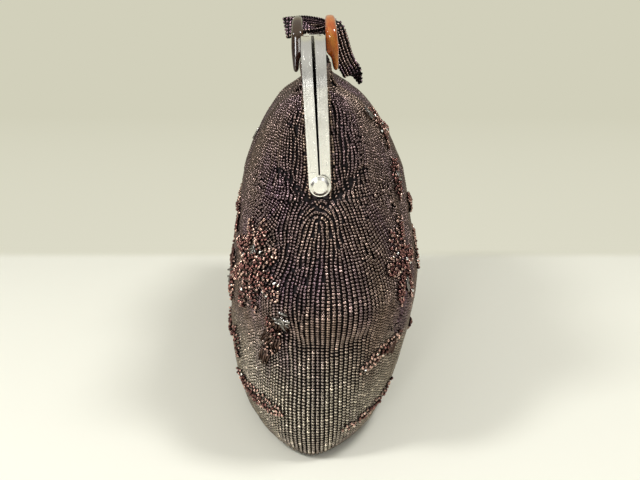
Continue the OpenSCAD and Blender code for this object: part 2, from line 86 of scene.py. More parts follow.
def linear(code):
    """An sRGB hex colour such as #3a2d30 as three linear numbers."""
    parts = [int(code[i:i + 2], 16) / 255 for i in (1, 3, 5)]
    return [c / 12.92 if c <= 0.04045 else ((c + 0.055) / 1.055) ** 2.4 for c in parts]


def size(name, text, value):
    """A length in metres that a user may change."""
    return FloatProperty(name=name, description=text, default=value, min=0, precision=5,
                         unit="LENGTH")


def colour(name, text, code):
    """A colour that a user may change."""
    return FloatVectorProperty(name=name, description=text, default=linear(code), min=0,
                               max=1, subtype="COLOR")


class HandbagBeads(bpy.types.PropertyGroup):
    """Sizes and colours of the strung glass beads."""
    width: size("Bead width", "Diameter of a seed bead", 2.0 * MM)
    pitch: size("Bead pitch", "Distance between beads along their string", 1.4 * MM)
    gap: size("String gap", "Distance between neighbouring strings", 1.95 * MM)
    gathered: FloatProperty(name="Gathered", default=0.86, min=0.5, max=1,
                            description="Bead size near the frame as a share of the rest")
    seed: IntProperty(name="Seed", description="Chooses the order of uneven beads", default=7)
    gunmetal: colour("Gunmetal", "Most of the beads", "#514541")
    bronze: colour("Bronze", "Warm beads among them", "#554941")
    plum: colour("Plum", "Purple beads among them", "#473a3f")
    silver: colour("Silver", "Beads and bugles that catch the light", "#cfcac4")
    # painted reflection of the floor: the beads near the base are painted in this lighter, greyer
    # colour
    painted_sheen: colour("Painted_floor_sheen", "Greyer beads towards the base", "#7d766b")
    wine: colour("Wine", "Dark beads of the sprays", "#5a3f3b")
    rose: colour("Rose", "Light beads of the sprays", "#8a7268")
    cloth: colour("Ground", "Fabric under the beads", "#171013")


class HandbagLining(bpy.types.PropertyGroup):
    """Looks of the satin inside."""
    satin: colour("Satin", "Colour of the lining", "#4a3b3d")


class HandbagMetal(bpy.types.PropertyGroup):
    """Looks of the plated frame and the plain fittings."""
    edge: size("Edge round", "Radius worn on the frame's edges", 0.5 * MM)
    plate: colour("Plate", "Silver plate of the frame", "#e9e7df")
    steel: colour("Steel", "Plain steel of the hidden fittings", "#9a9a98")


class HandbagTabs(bpy.types.PropertyGroup):
    """Looks of the two resin tabs."""
    edge: size("Edge round", "Radius of a tab's polished edges", 0.9 * MM)
    dark: colour("Dark", "Dark resin near its top", "#3d2d1e")
    # painted shade: the dark resin lower down
    dark_painted_shade: colour("Dark foot", "Dark resin lower down", "#26140f")
    dark_streak: colour("Dark streaks", "Lighter streaks in the dark resin", "#55412b")
    amber: colour("Amber", "Amber resin near its top", "#a5521c")
    # painted shade: the amber resin lower down, a deeper red
    amber_painted_shade: colour("Amber foot", "Amber resin lower down", "#b8400e")
    amber_streak: colour("Amber streaks", "Lighter streaks in the amber resin", "#c98a3a")


class HandbagStage(bpy.types.PropertyGroup):
    """The camera, the sweep of paper and the lamps."""
    camera_x: size("Camera distance", "How far the camera stands from the middle", 0.375)
    camera_z: size("Camera height", "How high the camera stands", 0.174)
    pitch: FloatProperty(name="Camera pitch", description="How far the camera looks down",
                         default=math.radians(16.3), unit="ROTATION")
    lens: FloatProperty(name="Lens", description="Focal length in millimetres", default=39.375)
    floor: colour("Floor", "Colour of the paper under the bag", "#edecdf")
    wall: colour("Backdrop", "Colour of the paper behind it", "#dcdac7")
    # painted falloff of light: the backdrop is painted darker further back
    far_wall: colour("Far backdrop", "Colour of that paper further away", "#d2d0bb")
    join_x: size("Join", "How far behind the middle the two papers meet", 0.18)
    cove_x: size("Cove", "How far behind the middle the paper turns up", 1.2)
    cove_radius: size("Cove radius", "Radius of the turn", 0.1)


def settings(group):
    """One of the groups of sizes and colours, on the scene."""
    return getattr(bpy.context.scene, "handbag_" + group)


def add(tree, kind, sets=None, feeds=None):
    """Adds a shader node with its settings, and feeds its sockets numbers or links."""
    made = tree.nodes.new("ShaderNode" + kind)
    for key, value in (sets or {}).items():
        setattr(made, key, value)
    for key, value in (feeds or {}).items():
        if isinstance(value, bpy.types.NodeSocket):
            tree.links.new(value, made.inputs[key])
        else:
            made.inputs[key].default_value = value
    return made


def start_material(name, **values):
    """A new material, its node tree and its main shader with some plain values."""
    made = bpy.data.materials.new(name)
    made.use_nodes = True
    shader = made.node_tree.nodes["Principled BSDF"]
    for key, value in values.items():
        socket = shader.inputs[key.replace("_", " ")]
        socket.default_value = (*value, 1) if hasattr(value, "__len__") else value
    return made, made.node_tree, shader


def spots(*counts):
    """The scales at which a noise pattern has so many spots in a millimetre."""
    return [count / MM for count in counts]


def bands(length, waves=20):
    """The scale at which a wave pattern's bands are a length in millimetres apart. A metre
    of the pattern has 20 radians at scale 1, and 10 where the bands are diagonal."""
    return math.tau / (waves * length * MM)


def bead_glass():
    """Metal-lined glass beads, fire polished, coloured by each bead's tint, which holds a painted
    highlight on the bead's crown and painted shade on its sides. The specular tint keeps their
    rims from turning white."""
    made, tree, shader = start_material("lined_glass_beads", Metallic=0.9, Roughness=0.13)
    tint = add(tree, "Attribute", {"attribute_name": "tint"})
    tree.links.new(tint.outputs["Color"], shader.inputs["Base Color"])
    shader.inputs["Specular Tint"].default_value = (0.35, 0.32, 0.3, 1)
    return made


def ground_fabric():
    """Dark woven cotton under the beads, whose weave shows as faint ribs. Its threads are too
    fine to show, so the ribs are drawn 3 mm apart."""
    look = settings("beads")
    made, tree, shader = start_material("ground_cotton", Roughness=0.9, Base_Color=look.cloth)
    place = add(tree, "TexCoord").outputs["Object"]
    weave = add(tree, "TexWave", {"bands_direction": "Z"},
                {"Vector": place, "Scale": bands(3.1416), "Distortion": 2.0})
    bump = add(tree, "Bump", None, {"Height": weave.outputs["Fac"], "Strength": 0.4,
                                    "Distance": 0.1 * MM})
    tree.links.new(bump.outputs["Normal"], shader.inputs["Normal"])
    return made


def satin():
    """Lining satin: smooth warp floats give a soft sheen along the folds, which lie about
    17 mm apart. The threads are drawn 2 mm apart, because real ones are too fine to show."""
    made, tree, shader = start_material("lining_satin", Roughness=0.42, Sheen_Weight=0.4,
                                        Base_Color=settings("lining").satin)
    place = add(tree, "TexCoord").outputs["Object"]
    folds = add(tree, "TexNoise", None, {"Vector": place, "Scale": spots(0.06)[0],
                                         "Detail": 3.0})
    threads = add(tree, "TexWave", {"bands_direction": "X"},
                  {"Vector": place, "Scale": bands(1.9635), "Distortion": 1.5})
    height = add(tree, "Math", {"operation": "MULTIPLY_ADD"},
                 {0: threads.outputs["Fac"], 1: 0.12, 2: folds.outputs["Fac"]})
    bump = add(tree, "Bump", None, {"Height": height.outputs[0], "Strength": 0.5,
                                    "Distance": 0.6 * MM})
    tree.links.new(bump.outputs["Normal"], shader.inputs["Normal"])
    return made


def plated_metal(name, code, roughness):
    """Silver-plated brass whose rounded edges are painted near-white, a painted highlight, with
    scratches 0.2 mm wide and 1.4 mm long, and matt patches about 7 mm across."""
    made, tree, shader = start_material(name, Metallic=1.0)
    # the rounded edges are painted near-white: a painted highlight on the rims
    painted_sheen = add(tree, "Attribute", {"attribute_name": "painted_sheen"}).outputs["Fac"]
    shade = add(tree, "Mix", {"data_type": "RGBA"},
                {0: painted_sheen, 6: (*code, 1), 7: (*linear("#fbf9f2"), 1)})
    tree.links.new(shade.outputs[2], shader.inputs["Base Color"])
    place = add(tree, "TexCoord").outputs["Object"]
    grain = add(tree, "Mapping", None, {"Vector": place, "Scale": spots(4.8, 4.8, 0.72)})
    scratches = add(tree, "TexNoise", None, {"Vector": grain.outputs[0], "Scale": 1.0,
                                             "Detail": 4.0})
    patches = add(tree, "TexNoise", None, {"Vector": place, "Scale": spots(0.14)[0],
                                           "Detail": 5.0})
    roughness_and_sheen_share = add(tree, "MapRange", None,
               {"Value": patches.outputs["Fac"], "From Min": 0.35, "From Max": 0.7,
                "To Min": roughness, "To Max": roughness + 0.05})
    tree.links.new(roughness_and_sheen_share.outputs[0], shader.inputs["Roughness"])
    bump = add(tree, "Bump", None, {"Height": scratches.outputs["Fac"], "Strength": 0.06,
                                    "Distance": 0.05 * MM})
    tree.links.new(bump.outputs["Normal"], shader.inputs["Normal"])
    return made


def cast_resin(name, body, foot, streak):
    """Cast phenolic resin, polished: under a glassy surface, cloudy streaks run up the tab,
    10 mm wide, 4.5 mm deep and 24 mm long. Lower down the resin is painted darker and redder:
    painted shade on the tab's lower part."""
    made, tree, shader = start_material(name, Roughness=0.1, IOR=1.65)
    place = add(tree, "TexCoord").outputs["Object"]
    drawn = add(tree, "Mapping", None, {"Vector": place, "Scale": spots(0.096, 0.224, 0.0416)})
    clouds = add(tree, "TexNoise", None, {"Vector": drawn.outputs[0], "Scale": 1.0,
                                          "Detail": 5.0, "Distortion": 0.8})
    mix = add(tree, "MapRange", None, {"Value": clouds.outputs["Fac"], "From Min": 0.5,
                                       "From Max": 0.85})
    # painted shade: below the tab's top the resin takes its darker foot colour
    height = add(tree, "SeparateXYZ", None, {0: place}).outputs["Z"]
    deep = add(tree, "MapRange", {"interpolation_type": "SMOOTHSTEP"},
               {"Value": height, "From Min": 0.165, "From Max": 0.178})
    low = add(tree, "Mix", {"data_type": "RGBA"},
              {0: deep.outputs[0], 6: (*foot, 1), 7: (*body, 1)})
    shade = add(tree, "Mix", {"data_type": "RGBA"},
                {0: mix.outputs[0], 6: low.outputs[2], 7: (*streak, 1)})
    tree.links.new(shade.outputs[2], shader.inputs["Base Color"])
    return made


def twisted_paper():
    """Kraft paper twisted into a cord, a turn every 5 mm."""
    made, tree, shader = start_material("twisted_paper", Roughness=0.85,
                                        Base_Color=linear("#b8a380"))
    place = add(tree, "TexCoord").outputs["Object"]
    twist = add(tree, "TexWave", {"bands_direction": "DIAGONAL"},
                {"Vector": place, "Scale": bands(5.236, 10)})
    bump = add(tree, "Bump", None, {"Height": twist.outputs["Fac"], "Strength": 0.6,
                                    "Distance": 0.3 * MM})
    tree.links.new(bump.outputs["Normal"], shader.inputs["Normal"])
    return made


def sweep_paper():
    """Matt background paper in two tones. The further one is painted darker still further back, a
    painted falloff of light; it shows its own plain colour to the camera and in reflections, and
    takes the lamps' light for all else."""
    look = settings("stage")
    made, tree, shader = start_material("paper_sweep", Roughness=0.9)
    place = add(tree, "TexCoord").outputs["Object"]
    along = add(tree, "SeparateXYZ", None, {0: place}).outputs["X"]
    blur = 15 * MM  # half the width of the change of tone
    behind = add(tree, "MapRange", {"interpolation_type": "SMOOTHSTEP"},
                 {"Value": along, "From Min": blur - look.join_x,
                  "From Max": -blur - look.join_x})
    # painted falloff of light: the paper behind is painted darker further back
    painted_falloff = add(tree, "MapRange", None,
               {"Value": along, "From Min": -look.join_x, "From Max": -look.cove_x})
    wall = add(tree, "Mix", {"data_type": "RGBA"},
               {0: painted_falloff.outputs[0], 6: (*look.wall, 1), 7: (*look.far_wall, 1)}).outputs[2]
    shade = add(tree, "Mix", {"data_type": "RGBA"},
                {0: behind.outputs[0], 6: (*look.floor, 1), 7: wall})
    tree.links.new(shade.outputs[2], shader.inputs["Base Color"])
    path = add(tree, "LightPath").outputs
    seen = add(tree, "Math", {"operation": "ADD"},
               {0: path["Is Camera Ray"], 1: path["Is Glossy Ray"]})
    seen = add(tree, "Math", {"operation": "ADD", "use_clamp": True},
               {0: seen.outputs[0], 1: path["Is Transmission Ray"]})
    pale = add(tree, "Math", {"operation": "MULTIPLY"},
               {0: seen.outputs[0], 1: behind.outputs[0]})
    even = add(tree, "Emission", None, {"Color": wall, "Strength": 1.0})
    mixed = add(tree, "MixShader", None, {0: pale.outputs[0], 1: shader.outputs[0],
                                          2: even.outputs[0]})
    tree.links.new(mixed.outputs[0], tree.nodes["Material Output"].inputs["Surface"])
    return made


def merged(node):
    """A copy of a CAD node's mesh as a bmesh, its loose triangles joined up."""
    bm = bmesh.new()
    bm.from_mesh(frame["nodes"][node].data)
    bmesh.ops.remove_doubles(bm, verts=bm.verts, dist=0.002 * MM)
    return bm


def piece(name, bm, material, smooth=True):
    """A finished piece from a bmesh, at the origin."""
    mesh = bpy.data.meshes.new(name)
    bm.to_mesh(mesh)
    bm.free()
    mesh.materials.clear()
    mesh.materials.append(material)
    if smooth:
        mesh.shade_smooth()
    made = bpy.data.objects.new(name, mesh)
    bpy.context.scene.collection.objects.link(made)
    return made


def subdivided(bm, levels, kind="CATMULL_CLARK"):
    """The same surface with more faces, and smoother ones unless the kind is SIMPLE."""
    made = piece("being_subdivided", bm, bpy.data.materials[0])
    finer = made.modifiers.new("finer", "SUBSURF")
    finer.subdivision_type = kind
    finer.levels = finer.render_levels = levels
    finer.boundary_smooth = "PRESERVE_CORNERS"
    bpy.context.view_layer.update()
    out = bmesh.new()
    out.from_object(made, bpy.context.evaluated_depsgraph_get())
    mesh = made.data
    bpy.data.objects.remove(made)
    bpy.data.meshes.remove(mesh)
    return out


def quads(bm):
    """Joins a soft solid's triangles back into its four-sided patches."""
    bmesh.ops.join_triangles(bm, faces=bm.faces, angle_face_threshold=math.radians(30),
                             angle_shape_threshold=math.radians(60))


def outer_skin(node, levels=2):
    """The outside of a soft CAD solid: its inner wall and rims are left off."""
    bm = merged(node)
    quads(bm)
    low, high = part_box(node)
    middle = Vector((0, 0, (low.z + high.z) / 2))
    rim = 0.2 * MM

    def outside(face):
        centre = face.calc_center_median()
        flat_top = face.normal.z > 0.9 and centre.z > high.z - rim
        flat_base = face.normal.z < -0.9 and 0 < low.z and centre.z < low.z + rim
        return face.normal.dot(centre - middle) > 0 and not flat_top and not flat_base

    gone = [f for f in bm.faces if not outside(f)]
    bmesh.ops.delete(bm, geom=gone, context="FACES")
    return subdivided(bm, levels)


def search_tree(skins):
    """A search tree over several bmeshes."""
    whole = bmesh.new()
    for bm in skins:
        held = bpy.data.meshes.new("held")
        bm.to_mesh(held)
        whole.from_mesh(held)
        bpy.data.meshes.remove(held)
    tree = BVHTree.FromBMesh(whole)
    whole.free()
    return tree


def frame_lean(z):
    """How far the closed frame's middle plane has moved along Y at a height."""
    return -max(0.0, z - HINGE.z) * math.tan(LEAN)


def ease(value, start, end):
    """Rises smoothly from 0 at start to 1 at end."""
    t = min(1.0, max(0.0, (value - start) / (end - start)))
    return t * t * (3 - 2 * t)


END_X = 0.06  # from here to its end the bag has folds, on either side of the middle
# Unevenness of the cloth: height in millimetres, and how many spots lie in a metre
UNEVEN = ((0.5, 38), (0.45, 105))
# Folds of each end face: depth and half-width, then places across and up, in millimetres
FOLDS = ((1.8, 1.6, ((-17, 121), (-9, 114), (0, 107.5), (9, 114), (18, 121))),
         (1.1, 3.2, ((-15, 60), (-8, 53), (-2, 55), (6, 51), (18, 57))),
         (1.2, 2.6, ((-15, 98), (-12.5, 86), (-9, 73), (-15, 58))))
# Swells of each end face: height and radius, then a place across and up
SWELLS = ((1.4, 8, (-20, 117)), (1.2, 8, (17, 126)), (1.6, 9, (-22, 80)), (0.9, 12, (4, 82)))
# Groove beside the frame's legs: its depth, distance from a leg and half-width near the
# seam, and how much less the last two are near the top
GROOVE = (1.9, 6.5, 3.6, 3.5, 1.8)


def from_line(y, z, places):
    """Distance in millimetres from a place on an end face to a line of places."""
    best = 1e9
    for (y0, z0), (y1, z1) in zip(places, places[1:]):
        dy, dz = y1 - y0, z1 - z0
        t = ((y - y0) * dy + (z - z0) * dz) / (dy * dy + dz * dz)
        t = min(1.0, max(0.0, t))
        best = min(best, math.hypot(y - y0 - t * dy, z - z0 - t * dz))
    return best


def relief(p, n):
    """How far the cloth stands out from the plain form at a place, worked out in millimetres:
    an uneven surface, the end faces' folds and swells, and a groove beside the frame's legs,
    where the fabric runs into the channel."""
    out = sum(height * noise.noise(p * often) for height, often in UNEVEN)
    out *= ease(p.z, 0, 0.008)
    end_face = ease(abs(n.x), 0.3, 0.75) if abs(p.x) > END_X else 0.0
    if end_face > 0:
        y, z = p.y / MM * (1 if p.x > 0 else -1), p.z / MM
        for depth, wide, places in FOLDS:
            out -= depth * end_face * math.exp(-(from_line(y, z, places) / wide) ** 2)
        for height, wide, (y0, z0) in SWELLS:
            out += height * end_face * math.exp(-((y - y0) ** 2 + (z - z0) ** 2) / wide ** 2)
    beside = (abs(p.y - frame_lean(p.z)) - HALF_FACE) / MM
    if p.z > SEAM_Z and abs(p.x) > END_X and beside > 0:
        depth, off, wide, less_off, less_wide = GROOVE
        up = ease(p.z, 0.118, 0.158)
        away = (beside - off + less_off * up) / (wide - less_wide * up)
        fade = ease(p.z, 0.111, 0.122) * ease(0.163 - p.z, 0, 0.01)
        out -= depth * math.exp(-away * away) * fade
    return out * MM


def move_out(bm, distance):
    """Moves every vertex along its normal, by a distance that may depend on the vertex."""
    moved = [v.normal * distance(v) for v in bm.verts]
    for v, shift in zip(bm.verts, moved):
        v.co += shift


class Cloth:
    """The bag's outer surface: a skin for each soft CAD solid, and a search tree over them."""

    def __init__(self):
        self.skins = {node: outer_skin(node) for node in BEADED}
        for bm in self.skins.values():
            bm.normal_update()
            move_out(bm, lambda v: relief(v.co, v.normal))
            bm.normal_update()
        self.tree = search_tree(self.skins.values())

    def nearest(self, p, reach=0.03):
        """The cloth's nearest place and its normal."""
        q, n, _, _ = self.tree.find_nearest(p, reach)
        return q, n


# Places that bend the strings at the near end: centre in millimetres, reach and strength.
# The strings circle a ring, and arch over an arch
SWIRLS = (((104, 0, 98), 13, 3.5, "arch"), ((84, -27, 107), 9, 3, "ring"),
          ((89, 16, 137), 6, 2, "ring"), ((104, -23, 86), 10, 4, "ring"),
          ((82, 34, 106), 9, 3, "ring"), ((94, 35, 62), 12, 3, "ring"))


# On the shoulders the strings stray: by how many radians, and how many strays lie in a metre
STRAY, STRAYS = 0.8, 42


def swirl_marks():
    """The swirls of both ends, in metres; the far end has them the other way round."""
    made = []
    for end in (1, -1):
        for (x, y, z), reach, strength, kind in SWIRLS:
            made.append((Vector((end * x, end * y, z)) * MM, reach * MM, strength, kind))
    return made


def flow_over(marks):
    """A function that gives the way the strings run at a place of the cloth: along its
    rows, then bent by the marks. A string has no front or back, so directions are summed as
    double angles."""
    def flow(p, n):
        out = Vector((max(0.0, abs(p.x) - END_X) * (1 if p.x > 0 else -1), p.y, 0))
        guide = UP + out.normalized() * max(0.0, -n.z) if out.length > 0 else UP
        rise = (guide - n * guide.dot(n)).normalized()
        along = rise.cross(n)
        double_x, double_y = -1.0, 0.0
        for centre, reach, strength, kind in marks:
            away = p - centre
            far = away.length / reach
            if far > 2.4:
                continue
            v = n.cross(away)
            a, b = v.dot(along), v.dot(rise)
            r2 = a * a + b * b
            if r2 < 1e-12:
                continue
            w = strength * math.exp(-far * far)
            if kind == "arch":
                w *= ease(away.dot(rise), -0.1 * reach, 0.5 * reach)
            double_x += w * (a * a - b * b) / r2
            double_y += w * 2 * a * b / r2
        turn = 0.5 * math.atan2(double_y, double_x)
        uneven = ease(abs(n.y), 0.45, 0.8) * ease(abs(p.x), 0.03, END_X) * ease(p.z, 0.07, 0.1)
        turn += STRAY * uneven * noise.noise(p * STRAYS) * ease(0.168 - p.z, 0, 0.015)
        return along * math.cos(turn) + rise * math.sin(turn)
    return flow


class Strings:
    """Strings of bead places that follow the flow over a cloth, evenly apart."""
    MOST_BEADS = 500  # on one string, each way
    SHARPEST = 0.7  # cosine of the sharpest turn between two beads
    SLACK = 0.05  # unevenness of the pitch
    KIN = 4  # beads of one string that don't crowd each other
    REACH = 1.35  # how far strings push each other, in gaps
    PUSH, MOST_PUSH = 0.3, 0.12  # how far a round moves beads, in gaps
    WIDEST = 1.2  # most room for a bead, in gaps

    def __init__(self, cloth, look, flow, dice):
        self.cloth, self.flow, self.dice = cloth, flow, dice
        self.gap, self.pitch, self.gathered = look.gap, look.pitch, look.gathered
        self.grid, self.runs = {}, []

    def scale(self, p):
        """Bead size at a place: smaller where the cloth is gathered towards the frame."""
        return 1 + (self.gathered - 1) * ease(p.z, 0.085, 0.122)

    def crowded(self, p, share, run=-1, index=0):
        """True if another string, or a far part of this one, is nearer than a share of the gap."""
        x, y, z = p
        g = self.gap
        i, j, k = math.floor(x / g), math.floor(y / g), math.floor(z / g)
        limit2 = (share * g * self.scale(p)) ** 2
        get = self.grid.get
        for a in (i - 1, i, i + 1):
            for b in (j - 1, j, j + 1):
                for c in (k - 1, k, k + 1):
                    for bx, by, bz, bs, bi in get((a, b, c), ()):
                        if bs == run and abs(bi - index) < self.KIN:
                            continue
                        if (bx - x) ** 2 + (by - y) ** 2 + (bz - z) ** 2 < limit2:
                            return True
        return False

    def hold(self, p, run, index):
        """Marks a place as taken."""
        g = self.gap
        cell = (math.floor(p.x / g), math.floor(p.y / g), math.floor(p.z / g))
        self.grid.setdefault(cell, []).append((p.x, p.y, p.z, run, index))

    def trace(self, start, n, stop):
        """One string, both ways from its start, until it meets others."""
        run = len(self.runs)
        first = self.flow(start, n)
        self.hold(start, run, 0)
        ways = []
        for way in (1, -1):
            found = []
            p, d, index = start, first * way, 0
            while len(found) < self.MOST_BEADS:
                slack = 1 + self.SLACK * (self.dice.random() - 0.5)
                step = self.pitch * self.scale(p) * slack
                q, m = self.cloth.nearest(p + d * step)
                index += way
                if q is None or (q - p).length < 0.5 * self.pitch:
                    break
                turned = self.flow(q, m)
                if turned.dot(d) < 0:
                    turned = -turned
                if turned.dot(d) < self.SHARPEST or self.crowded(q, stop, run, index):
                    break
                self.hold(q, run, index)
                found.append((q, m))
                p, d = q, turned
            ways.append(found)
        beads = ways[1][::-1] + [(start, n)] + ways[0]
        self.runs.append(beads)
        return beads

    def fill(self, starts, near, stop):
        """Lays strings beside strings until no place is left for one. A string starts no
        nearer to another than one share of the gap, and ends at another share of it."""
        waiting = deque(starts)
        while waiting:
            p = waiting.popleft()
            q, n = self.cloth.nearest(p)
            if q is None or self.crowded(q, near):
                continue
            for b, m in self.trace(q, n, stop):
                side = self.flow(b, m).cross(m) * self.gap * self.scale(b)
                waiting.append(b + side)
                waiting.append(b - side)

    def spans(self):
        """Where each string starts and ends in the arrays of all beads."""
        ends = np.cumsum([len(r) for r in self.runs])
        return list(zip(np.concatenate([[0], ends[:-1]]), ends))

    def headings(self):
        """The way each bead's string runs there."""
        ahead = np.empty_like(self.spot)
        for s, e in self.spans():
            if e - s > 1:
                ahead[s:e] = np.gradient(self.spot[s:e], axis=0)
            else:
                ahead[s] = self.flow(Vector(self.spot[s]), Vector(self.normal[s]))
        return ahead / (np.linalg.norm(ahead, axis=1, keepdims=True) + 1e-12)

    def pairs(self, reach):
        """Pairs of beads of different strings that lie within a distance."""
        tree = KDTree(len(self.spot))
        for i, p in enumerate(self.spot):
            tree.insert(p, i)
        tree.balance()
        first, second = [], []
        for i, p in enumerate(self.spot):
            for _, j, _ in tree.find_range(p, reach):
                if self.owner[j] != self.owner[i]:
                    first.append(i)
                    second.append(j)
        return np.array(first), np.array(second)

    def smoothed(self, values, width):
        """Values evened out along each string."""
        out = np.empty_like(values)
        for s, e in self.spans():
            w = min(width, e - s)
            padded = np.pad(values[s:e], (w // 2, w - 1 - w // 2), "edge")
            out[s:e] = np.convolve(padded, np.ones(w) / w, "valid")
        return out

    def gather(self):
        """Puts all beads into arrays: places, normals, and the string that each is on."""
        self.spot = np.array([b[0][:] for r in self.runs for b in r])
        self.normal = np.array([b[1][:] for r in self.runs for b in r])
        self.owner = np.repeat(np.arange(len(self.runs)), [len(r) for r in self.runs])

    def beside(self, share):
        """Places on both sides of every bead, a share of the gap away."""
        return [b + side * share * self.gap * self.scale(b) * self.flow(b, m).cross(m)
                for run in self.runs for b, m in run for side in (1, -1)]

    def settle(self, rounds):
        """Evens out the gaps: strings push their neighbours sideways, and stay smooth."""
        self.runs = [r for r in self.runs if len(r) > 2]
        self.gather()
        reach = self.REACH * self.gap
        for _ in range(rounds):
            first, second = self.pairs(reach)
            side = np.cross(self.headings(), self.normal)
            apart = self.spot[first] - self.spot[second]
            far = np.linalg.norm(apart, axis=1)
            across = np.einsum("ij,ij->i", apart, side[first])
            force = (reach - far) / reach * across / (far + 1e-9)
            push = self.smoothed(np.bincount(first, force, len(self.spot)), 9)
            shift = np.clip(push * self.PUSH, -self.MOST_PUSH, self.MOST_PUSH) * self.gap
            self.spot += side * shift[:, None]
            for i, p in enumerate(self.spot):
                q, n = self.cloth.nearest(Vector(p))
                self.spot[i], self.normal[i] = q[:], n[:]
        beads = [(Vector(p), Vector(n)) for p, n in zip(self.spot, self.normal)]
        self.runs = [beads[s:e] for s, e in self.spans()]
        self.grid = {}
        for run, beads in enumerate(self.runs):
            for index, (p, _) in enumerate(beads):
                self.hold(p, run, index)

    def measure(self):
        """The room that each bead has between its neighbours."""
        self.gather()
        self.room = np.full(len(self.spot), self.WIDEST * self.gap)
        first, second = self.pairs(self.WIDEST * self.gap)
        far = np.linalg.norm(self.spot[first] - self.spot[second], axis=1)
        np.minimum.at(self.room, first, far)
        self.room = self.smoothed(self.room, 5)


def seed_bead(look):
    """One seed bead: a short round barrel whose hole runs along Z, a little longer than the
    pitch, so that a string shows no gaps."""
    bm = bmesh.new()
    bmesh.ops.create_uvsphere(bm, u_segments=6, v_segments=4, radius=0.5)
    bmesh.ops.scale(bm, vec=(look.width, look.width, look.pitch * 1.05), verts=bm.verts)
    bmesh.ops.rotate(bm, matrix=Matrix.Rotation(math.radians(90), 3, "Z"), verts=bm.verts)
    return bm


def bugle_form(width, length):
    """One bugle: a cut six-sided glass tube whose hole runs along Z."""
    bm = bmesh.new()
    bmesh.ops.create_cone(bm, cap_ends=True, segments=6, radius1=width / 2,
                          radius2=width / 2, depth=length)
    return bm


def painted_bead_light(shape, side, crown):
    """How bright each corner of a bead's form is painted, from painted shade on its sides to a
    painted highlight on its crown.
    """
    height = shape[:, 1] / np.max(shape[:, 1])
    t = np.clip((height - 0.25) / 0.75, 0, 1)
    return side + (crown - side) * t * t * (3 - 2 * t)


PAINTED_EVEN_SHEEN = 1.25  # how bright a bead is painted all over where an even painted sheen, a painted reflection of the floor, replaces its painted crown highlight and side shade


def copies(name, form, places, tints, material, smooth=True, painted_shade_and_highlight=(0.17, 3.2)):
    """One piece of many copies of a small form, each turned and placed by a 4x4 matrix. Its last
    argument gives how bright a bead's sides and its crown are painted: painted shade on the sides
    and a painted highlight on the crown. A tint's fourth number, from 0 to 1, is how much of that
    gives way to an even painted sheen, a painted reflection of the floor."""
    form.verts.ensure_lookup_table()
    shape = np.array([v.co[:] for v in form.verts])
    loops = np.array([v.index for f in form.faces for v in f.verts])
    counts = np.array([len(f.verts) for f in form.faces])
    form.free()
    places = np.asarray(places)
    n, m = len(places), len(shape)
    points = np.einsum("nij,mj->nmi", places[:, :3, :3], shape) + places[:, None, :3, 3]
    mesh = bpy.data.meshes.new(name)
    mesh.vertices.add(n * m)
    mesh.vertices.foreach_set("co", points.astype(np.float32).ravel())
    mesh.loops.add(n * len(loops))
    corners = loops[None, :] + (np.arange(n) * m)[:, None]
    mesh.loops.foreach_set("vertex_index", corners.astype(np.int32).ravel())
    mesh.polygons.add(n * len(counts))
    sizes = np.tile(counts, n)
    starts = np.concatenate([[0], np.cumsum(sizes)[:-1]])
    mesh.polygons.foreach_set("loop_start", starts.astype(np.int32))
    mesh.update(calc_edges=True)
    if smooth:
        mesh.shade_smooth()
    shade = mesh.attributes.new("tint", "FLOAT_COLOR", "POINT")
    rgba = np.ones((n * m, 4), np.float32)
    tints = np.asarray(tints)
    rgba[:, :3] = np.repeat(tints[:, :3], m, axis=0)
    # painted light on each bead: painted shade on its sides and a painted highlight on its crown,
    # which near the base give way to an even painted sheen
    if smooth:
        roughness_and_sheen_share = np.repeat(tints[:, 3], m)
        painted_light = np.tile(painted_bead_light(shape, *painted_shade_and_highlight), n)
        rgba[:, :3] *= (painted_light * (1 - roughness_and_sheen_share) + PAINTED_EVEN_SHEEN * roughness_and_sheen_share)[:, None]
    shade.data.foreach_set("color", rgba.ravel())
    mesh.materials.append(material)
    made = bpy.data.objects.new(name, mesh)
    bpy.context.scene.collection.objects.link(made)
    return made


def placed(p, n, d, grow=(1, 1, 1)):
    """The matrix that turns a form's Z along d, its Y along n, and puts it at p."""
    z = d.normalized()
    y = (n - z * n.dot(z)).normalized()
    x = y.cross(z)
    place = Matrix((x, y, z)).transposed().to_4x4() @ Matrix.Diagonal((*grow, 1))
    place.translation = p
    return place


def shaded(colour_of, dice, spread=0.35, roughness_and_sheen_share=0.0):
    """A tint a little lighter or darker than a colour; a few are much lighter. Its fourth number
    is the share of an even painted sheen in place of the bead's painted crown light.
    """
    glint = 0.85 + 1.2 * dice.random() ** 7
    return (*(Vector(colour_of) * glint * (1 + spread * (dice.random() * 2 - 1))), roughness_and_sheen_share)


def string_tint(p, run, look, dice):
    """A strung bead's colour: gunmetal, a little warmer or more purple by string and place,
    bronze along the frame's legs, and towards the base lighter and greyer with an even painted
    sheen: a painted reflection of the floor."""
    beside = abs(p.y - frame_lean(p.z))
    if p.z > SEAM_Z and beside < HALF_FACE + 1.6 * MM and abs(p.x) > 0.08:
        return shaded(look.bronze, dice, 0.2)
    # painted reflection of the floor: towards the base the beads are painted lighter and greyer,
    # with an even painted sheen
    low = ease(0.065 - p.z, 0, 0.04)
    base = Vector(look.gunmetal).lerp(Vector(look.painted_sheen), low)
    drift = noise.noise(p * 40) + 0.3 * (((run * 37) % 17) / 8.5 - 1)
    other = Vector(look.bronze if drift > 0 else look.plum)
    mixed = base.lerp(other, min(1.0, abs(drift) * (1.3 - 0.6 * low)))
    return shaded(mixed, dice, 0.3 - 0.15 * low, 0.5 * low)


def bend(made):
    """Bakes the placing of a fabric piece of an upper panel into its mesh."""
    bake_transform(made)


SACK_PARTS = 12  # pieces round the sack, so that each stays small


